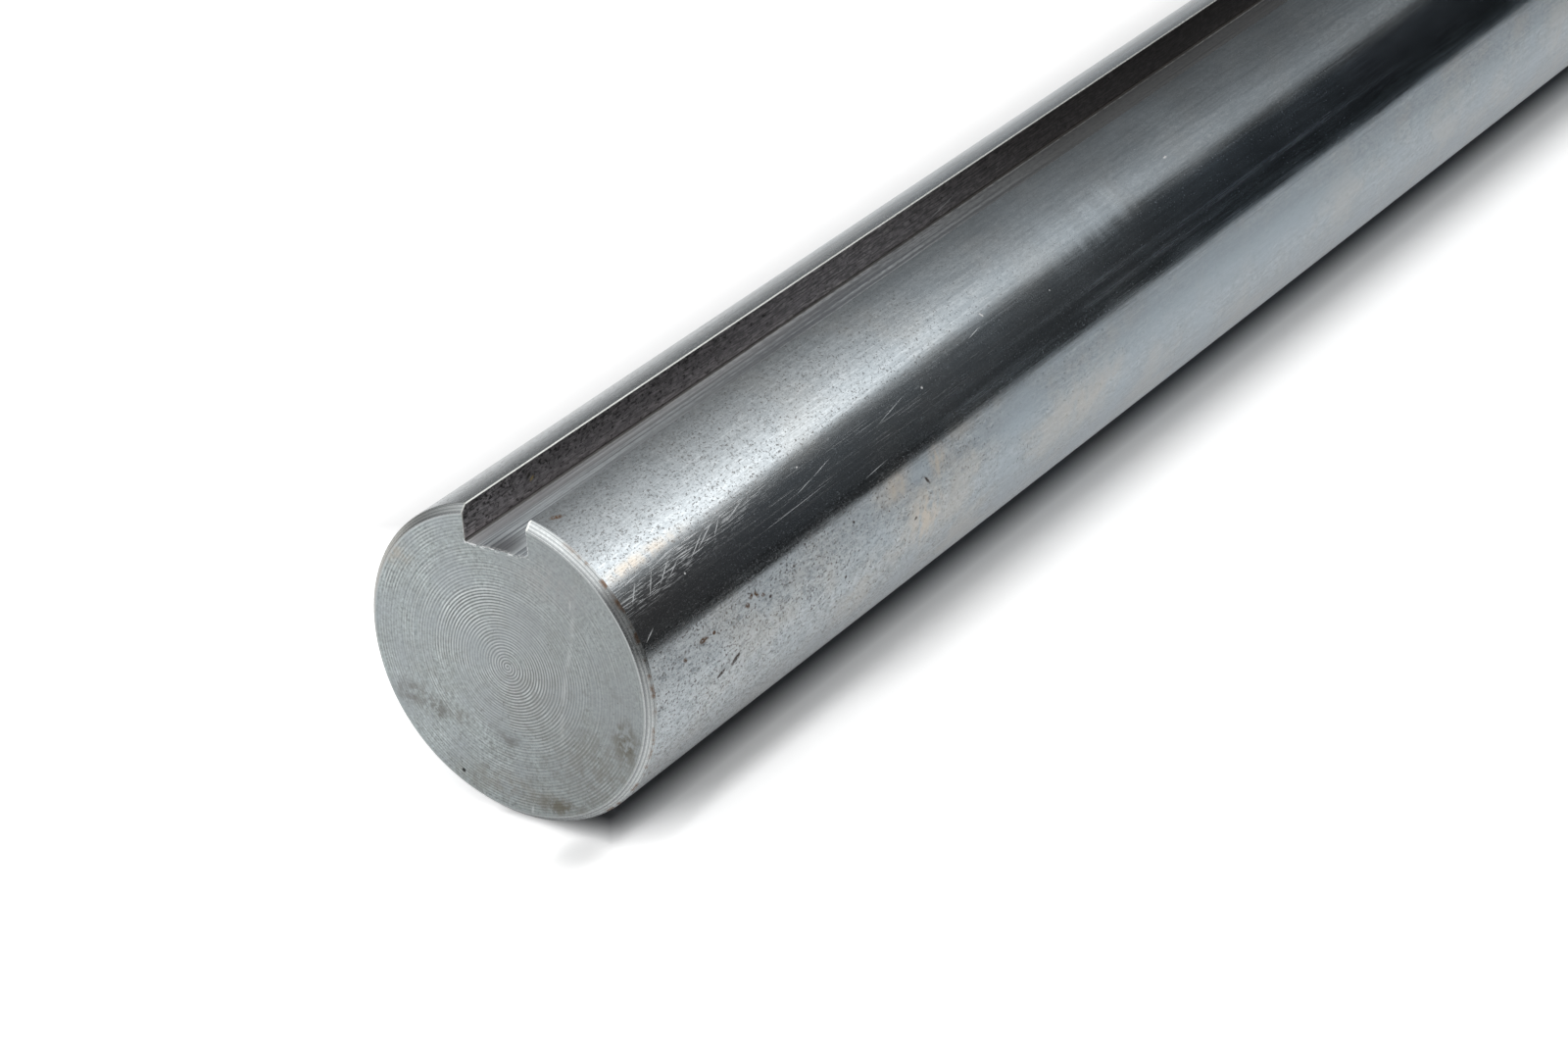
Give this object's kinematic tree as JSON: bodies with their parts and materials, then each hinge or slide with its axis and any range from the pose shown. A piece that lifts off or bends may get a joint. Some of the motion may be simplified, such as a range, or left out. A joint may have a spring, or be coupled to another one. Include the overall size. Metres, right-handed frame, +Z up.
{
  "type": "keyed shaft",
  "caption": "Round steel drive shaft stock with a square-bottomed keyway cut along its whole length and chamfered ends, to carry keyed hubs, gears, sprockets or couplings.",
  "frame": {"origin": "on the shaft's axis at mid-length", "axes": "+X along the shaft's axis, away from the end face that the picture shows; +Z up through the middle of the keyway; +Y completes the right-handed frame"},
  "size_m": [0.3048, 0.0286, 0.0282],
  "materials": {
    "cold_drawn_steel": "bright cold-drawn round, faced and chamfered ends, milled keyway with a little rust"
  },
  "bodies": {
    "root": {"keyed_shaft": "cold_drawn_steel"}
  },
  "joints": []
}
